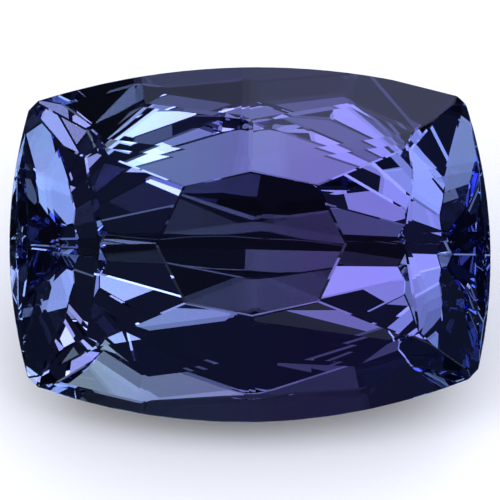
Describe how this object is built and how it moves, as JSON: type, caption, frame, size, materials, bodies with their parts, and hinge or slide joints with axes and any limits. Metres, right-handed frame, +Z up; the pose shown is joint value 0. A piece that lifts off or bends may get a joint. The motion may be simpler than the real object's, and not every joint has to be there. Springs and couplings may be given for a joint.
{
  "type": "faceted cushion-cut gemstone",
  "caption": "Rectangular cushion-cut tanzanite with a faceted crown and pavilion, loose and unset, lying on one large lower facet.",
  "frame": {"origin": "centre of the bounding box's bottom, on the surface that the stone lies on", "axes": "+Z up, +X along the stone's length, -Y towards the side that the table leans to"},
  "size_m": [0.0116, 0.0072, 0.0062],
  "materials": {
    "tanzanite": "polished, clear, blue to violet"
  },
  "bodies": {
    "root": {"tanzanite": "tanzanite"}
  },
  "joints": []
}
